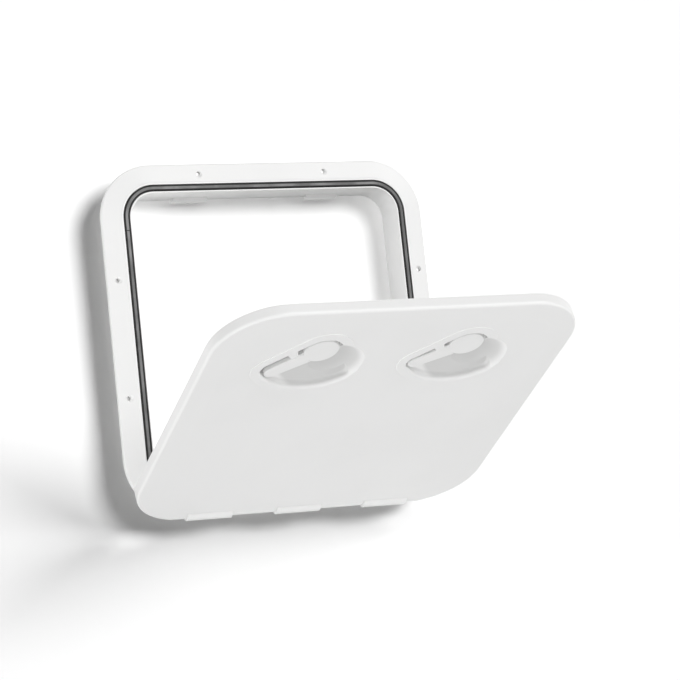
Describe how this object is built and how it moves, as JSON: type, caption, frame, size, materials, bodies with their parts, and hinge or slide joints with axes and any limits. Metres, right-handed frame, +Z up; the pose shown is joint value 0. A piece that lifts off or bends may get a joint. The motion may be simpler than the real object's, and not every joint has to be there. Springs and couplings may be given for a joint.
{
  "type": "hinged deck hatch",
  "caption": "Square deck access hatch: screw-down frame with seal, hinged lid and flush turn latches.",
  "frame": {"origin": "centre of the opening on the deck plane, the underside of the flange", "axes": "X along the hinge, +Y from the hinge to the free side, +Z up out of the deck"},
  "size_m": [0.375, 0.3684, 0.3727],
  "materials": {
    "white_asa": "satin",
    "lever_asa": "satin",
    "seal_rubber": "matte",
    "ring_rubber": "matte",
    "nylon": "matte",
    "cam_nylon": "matte",
    "stainless": "brushed"
  },
  "bodies": {
    "frame": {"frame": "white_asa", "seal": "seal_rubber", "hinge_pins": "stainless"},
    "lid": {"lid": "white_asa"},
    "latch_left": {"lever_left": "lever_asa", "o_ring_left": "ring_rubber", "thrust_washer_left": "nylon", "cam_left": "cam_nylon", "cam_washer_left": "stainless", "cam_screw_left": "stainless"},
    "latch_right": {"lever_right": "lever_asa", "o_ring_right": "ring_rubber", "thrust_washer_right": "nylon", "cam_right": "cam_nylon", "cam_washer_right": "stainless", "cam_screw_right": "stainless"}
  },
  "joints": [
    {"name": "lid_hinge", "type": "hinge", "parent": "frame", "child": "lid", "pos_m": [0, -0.1804, 0.0082], "axis": [1, 0, 0], "range_deg": [-65.8, 114.2]},
    {"name": "latch_left_turn", "type": "hinge", "parent": "lid", "child": "latch_left", "pos_m": [-0.075, -0.06139, 0.28691], "axis": [0, -0.9121, 0.4099], "range_deg": [-5.7, 87.6]},
    {"name": "latch_right_turn", "type": "hinge", "parent": "lid", "child": "latch_right", "pos_m": [0.075, -0.06139, 0.28691], "axis": [0, -0.9121, 0.4099], "range_deg": [0, 93.3]}
  ]
}
